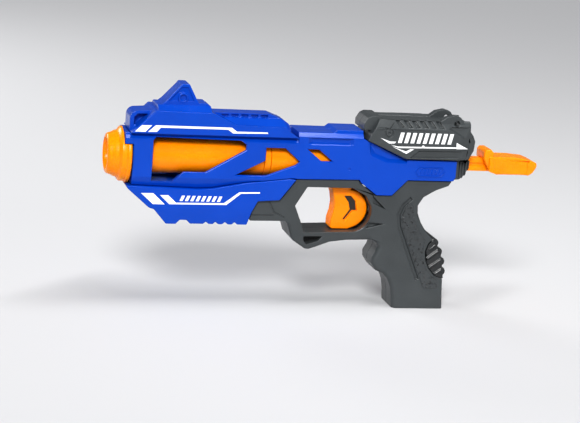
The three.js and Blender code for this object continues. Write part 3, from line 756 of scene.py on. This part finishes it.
def painted_trigger_recess_shade(s):
    """A thin black sheet on the floor of the recess in the trigger's side: painted shade that darkens the
    recess.
    """
    floor = s * (TRIGGER_SIDE - 1.6)
    shape = [(161.9, -23.7), (166.5, -23.7), (169.7, -27.1), (170.8, -33.3), (167.8, -33.3), (163.1, -40.0),
             (161.9, -39.5), (166.5, -32.6), (165.3, -27.9)]
    return side_slab(shape, floor, floor + s * PRINT_AND_SHADE_FILM)


def handle_edges(point):
    if abs(point.y) > 7.5 or point.x > 288:
        return 1.3
    return 0.4


def pull_handle():
    handle = from_node("pull_handle")
    for s in SIDES.values():
        cut(handle, side_slab(strip([(275.5, 4.1), (289.2, 3.9)], 0.6), s * 8.2, s * 12))
    return rounded(handle, width_at=handle_edges)


# ---------- turned pieces ----------
TUBE = (tube_high.z - tube_low.z) / 2 / MM
BORE = 9.6


def muzzle_ring():
    profile = [(0, 11), (0.25, 12.2), (0.8, 13.0), (1.6, 13.4), (3, 13.8), (4.6, 14.5), (5.2, 15),
               (7, 15.4), (7.6, 15.8), (8.6, 17.5), (9.4, 18), (12, 18), (12.5, 18.6), (13.2, 19),
               (14.4, 19), (15, 18.5), (15, TUBE + 0.3), (3.4, TUBE + 0.3), (3.4, BORE), (2, 9.9),
               (0.8, 10.3)]
    flat = side_slab([(10.2, 8.9), (16, 8.9), (16, 20), (10.2, 20)], -20, 20)
    return smooth(cut(lathe(profile), flat))


def chamfered_ring(x_near, x_far, inner, outer, chamfer=0.25):
    return [(x_near, inner), (x_near, outer - chamfer), (x_near + chamfer, outer), (x_far - chamfer, outer),
            (x_far, outer - chamfer), (x_far, inner)]


def barrel_tube():
    low, high = ((v.x - ORIGIN.x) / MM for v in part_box("barrel_tube"))
    return smooth(lathe(chamfered_ring(low, high, BORE, TUBE)))


def air_cylinder():
    low, high = ((v.x - ORIGIN.x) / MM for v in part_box("air_cylinder"))
    return smooth(lathe(chamfered_ring(low, high, 10.2, TUBE + 0.1)))


def breech_plug():
    low, high = ((v.x - ORIGIN.x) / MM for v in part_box("breech_plug"))
    flange = high - 4.1
    bore, neck, chamfer = 1.6, 3.3, 0.25
    return smooth(lathe([(low, bore), (low, neck - 0.6), (low + 0.6, neck), (flange, neck),
                         (flange, TUBE - 0.05), (flange + chamfer, TUBE + 0.2),
                         (high - chamfer, TUBE + 0.2), (high, TUBE - 0.05), (high, bore)]))


# ---------- screws ----------
HEAD_RADIUS, SHANK_RADIUS, THREAD_PITCH = 2.4, 1.2, 1.05
CROSS_HALF, CROSS_WIDTH, CROSS_TURN = 1.4, 0.56, 0.5


def pan_head_screw(node):
    low, high = (in_mm(corner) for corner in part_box(node))
    x, z = (low.x + high.x) / 2, (low.z + high.z) / 2
    tip, top = low.y, high.y
    threads = []
    y = tip + 1.2
    while y < top - 6:
        threads += [(y, SHANK_RADIUS - 0.2), (y + 0.45, SHANK_RADIUS), (y + 0.6, SHANK_RADIUS)]
        y += THREAD_PITCH
    head = [(top - 1.8, SHANK_RADIUS - 0.1), (top - 1.8, HEAD_RADIUS), (top - 0.8, HEAD_RADIUS),
            (top - 0.3, HEAD_RADIUS * 0.8), (top - 0.05, HEAD_RADIUS * 0.45), (top, 0)]
    screw = lathe([(tip, 0), (tip + 1.0, SHANK_RADIUS - 0.3)] + threads + head, 24, "y", (x, z))
    for angle in (CROSS_TURN, CROSS_TURN + math.pi / 2):
        c, s = math.cos(angle), math.sin(angle)
        corners = [(-CROSS_HALF, -CROSS_WIDTH / 2), (CROSS_HALF, -CROSS_WIDTH / 2),
                   (CROSS_HALF, CROSS_WIDTH / 2), (-CROSS_HALF, CROSS_WIDTH / 2)]
        arm = [(x + a * c - b * s, z + a * s + b * c) for a, b in corners]
        cut(screw, side_slab(arm, top - 0.9, top + 1))
    return smooth(screw)


# ---------- springs ----------
def compressed_spring(node):
    """A smoothed steel copy of a joint's coil spring, with a mesh of its own."""
    spring = piece(smooth(from_node(node), 80), "coiled_" + node, ROOT, "steel", STEEL, node)
    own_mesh(spring)


# ---------- printed stripes ----------
def prints_on(s, outlines, half_width_at):
    def ink(points):
        return prism(points, -0.05, PRINT_AND_SHADE_FILM, lambda x, z, t: at(x, s * (half_width_at(z) + t), z))
    return loose(*[ink(points) for points in outlines])


def slanted_bars(first, count, pitch, low, high, lean, width):
    starts = [first + pitch * i for i in range(count)]
    return [[(x, low), (x + width, low), (x + width + lean, high), (x + lean, high)] for x in starts]


UPPER_STRIPES = [
    [(16.0, 17.8), (20.4, 22.1), (27.0, 22.2), (22.9, 17.8)],
    [(24.5, 17.8), (29.4, 22.3), (79.4, 22.3), (82.9, 19.8), (103.4, 19.9), (103.8, 19.0), (80.4, 18.5),
     (77.0, 20.9), (32.8, 20.8), (30.4, 18.0)]]
LOWER_STRIPES = [
    [(22.4, -22.6), (30.5, -22.5), (38.4, -29.8), (30.6, -29.8)],
    [(35.0, -23.7), (40.4, -23.6), (45.8, -28.5), (77.6, -28.1), (87.4, -20.6), (101.3, -20.2),
     (101.3, -21.1), (88.6, -21.5), (79.3, -29.3), (41.4, -29.6)],
    *slanted_bars(48.0, 8, 3.55, -27.3, -23.7, 1.5, 2.0)]
HOOD_STRIPES = [
    [(187.6, 14.4), (192.4, 13.4), (233.0, 14.0), (233.0, 13.1), (192.9, 12.4)],
    [(233.2, 17.0), (241.4, 13.0), (233.2, 12.8)],
    [(188.4, 13.4), (198.6, 8.6), (203.8, 11.8), (201.2, 11.8), (198.2, 10.3), (192.4, 12.0)],
    [(179.9, 18.9), (186.8, 16.6), (191.0, 16.6), (190.0, 15.4), (186.2, 15.2)],
    arc((210, 13.6), 1.0, 0, 330, 11),
    *slanted_bars(192.2, 9, 4.3, 15.8, 22.8, 1.7, 2.6)]


# ---------- assembly ----------
for side_name, sign in SIDES.items():
    blue_shells = {"body_shell": body_shell, "upper_shroud": upper_shroud, "lower_shroud": lower_shroud}
    for node, build in blue_shells.items():
        full = f"{node}_{side_name}"
        piece(build(side_name), full + "_moulding", ROOT, "blue_plastic", BLUE, full)
    grey_shells = {"grip_frame": grip_frame, "rear_hood": rear_hood}
    for node, build in grey_shells.items():
        full = f"{node}_{side_name}"
        piece(build(side_name), full + "_moulding", ROOT, "dark_grey_plastic", GREY, full)
    piece(prints_on(sign, UPPER_STRIPES, lambda z: UPPER_SIDE), f"upper_shroud_print_{side_name}", ROOT,
          "blue_plastic", WHITE_INK)
    piece(prints_on(sign, LOWER_STRIPES, lambda z: LOWER_SIDE), f"lower_shroud_print_{side_name}", ROOT,
          "blue_plastic", WHITE_INK)
    piece(prints_on(sign, HOOD_STRIPES, hood_face), f"rear_hood_print_{side_name}", ROOT,
          "dark_grey_plastic", WHITE_INK)
    piece(pebbled_panel(sign), f"pebbled_panel_{side_name}", ROOT, "dark_grey_plastic", PEBBLED)
    # A black sheet of painted shade on the floor of each trigger recess.
    piece(painted_trigger_recess_shade(sign), f"trigger_recess_painted_shade_{side_name}", "trigger", "black_plastic", BLACK_SHADE_SHEET)

piece(rounded(from_node("rear_cap"), 0.3), "rear_cap_moulding", ROOT, "dark_grey_plastic", GREY, "rear_cap")
piece(palm_pad(), "ribbed_palm_pad", ROOT, "black_rubber", RUBBER, "palm_pad")
piece(trigger(), "fluted_trigger", "trigger", "orange_plastic", ORANGE, "trigger")
piece(pull_handle(), "pull_handle_moulding", "plunger", "orange_plastic", ORANGE, "pull_handle")
piece(rounded(from_node("plunger_rod"), 0.3), "plunger_rod_moulding", "plunger", "orange_plastic", ORANGE,
      "plunger_rod")
piece(muzzle_ring(), "turned_muzzle_ring", ROOT, "orange_plastic", ORANGE, "muzzle_ring")
piece(barrel_tube(), "smooth_barrel_tube", ROOT, "orange_plastic", ORANGE, "barrel_tube")
piece(air_cylinder(), "smooth_air_cylinder", ROOT, "orange_plastic", ORANGE, "air_cylinder")
piece(breech_plug(), "smooth_breech_plug", ROOT, "orange_plastic", ORANGE, "breech_plug")
for node in sorted(frame["nodes"]):
    if "_screw_" in node:
        piece(pan_head_screw(node), "pan_head_" + node, ROOT, "steel", STEEL, node)

for joint in frame["record"]["behaviour"]["joints"]:
    for deforming in joint["deforming_nodes"]:
        compressed_spring(deforming["node"])

KEPT = {"cylinder_end_cap": BLACK, "plunger_bumper": RUBBER, "plunger_head": ORANGE, "plunger_seal": RUBBER,
        "handle_pin": STEEL, "catch_plate": BLACK}
for node, material in KEPT.items():
    frame["nodes"][node].data.materials.clear()
    frame["nodes"][node].data.materials.append(material)


# ---------- floor, light and camera ----------
def room():
    mesh = bpy.data.meshes.new("floor")
    reach = 3.0
    mesh.from_pydata([(-reach, -reach, 0), (reach, -reach, 0), (reach, reach, 0), (-reach, reach, 0)], [],
                     [(0, 1, 2, 3)])
    floor = new_object("floor", mesh)
    floor.location.z = cad_box[0].z
    material = bpy.data.materials.new("pale_floor")
    material.use_nodes = True
    shader = material.node_tree.nodes["Principled BSDF"]
    shader.inputs["Base Color"].default_value = (0.62, 0.62, 0.63, 1)
    shader.inputs["Roughness"].default_value = 0.7
    mesh.materials.append(material)
    world = bpy.data.worlds.new("studio")
    world.use_nodes = True
    background = world.node_tree.nodes["Background"]
    background.inputs["Color"].default_value = (0.86, 0.88, 0.92, 1)
    seen = world.node_tree.nodes.new("ShaderNodeLightPath")
    strength = ramp(world.node_tree, seen.outputs["Is Camera Ray"], 0.17, 0.6)
    world.node_tree.links.new(strength, background.inputs["Strength"])
    bpy.context.scene.world = world


def soft_light(name, place, target, power, size):
    light = bpy.data.lights.new(name, "AREA")
    light.energy = power
    light.shape = "RECTANGLE"
    light.size, light.size_y = size
    lamp = bpy.data.objects.new(name, light)
    lamp.location = place
    lamp.rotation_euler = (Vector(target) - Vector(place)).to_track_quat("-Z", "Y").to_euler()
    bpy.context.scene.collection.objects.link(lamp)


def key_light(towards, strength, spread):
    """A large round lamp so far off that it lights the whole floor evenly."""
    light = bpy.data.lights.new("key", "SUN")
    light.energy = strength
    light.angle = math.radians(spread)
    lamp = bpy.data.objects.new("key", light)
    lamp.rotation_euler = Vector(towards).to_track_quat("Z", "Y").to_euler()
    bpy.context.scene.collection.objects.link(lamp)


def camera():
    data = bpy.data.cameras.new("camera")
    data.sensor_width = 36
    data.lens = 121.03
    data.clip_end = 20
    viewer = bpy.data.objects.new("camera", data)
    place = Vector((-0.33387, -1.23523, 0.34426))
    look_at = Vector((-0.02079, 0, 0.06252))
    roll = math.radians(4.404)
    aim = (look_at - place).to_track_quat("-Z", "Y")
    viewer.rotation_mode = "QUATERNION"
    viewer.rotation_quaternion = aim @ Matrix.Rotation(roll, 3, "Z").to_quaternion()
    viewer.location = place
    bpy.context.scene.collection.objects.link(viewer)
    bpy.context.scene.camera = viewer


room()
key_light((-0.7, -2.2, 1.6), 2.75, 18)
soft_light("top", (0.2, -0.2, 1.1), (0, 0, 0.1), 7, (0.9, 0.12))
soft_light("fill", (0.9, -1.2, 0.4), (0, 0, 0.1), 2.5, (0.6, 0.6))
soft_light("rim", (-0.9, 1.1, 0.55), (0, 0, 0.1), 7, (0.6, 0.5))
camera()
bpy.context.scene.view_settings.view_transform = "Standard"
bpy.context.scene.view_settings.look = "Medium High Contrast"
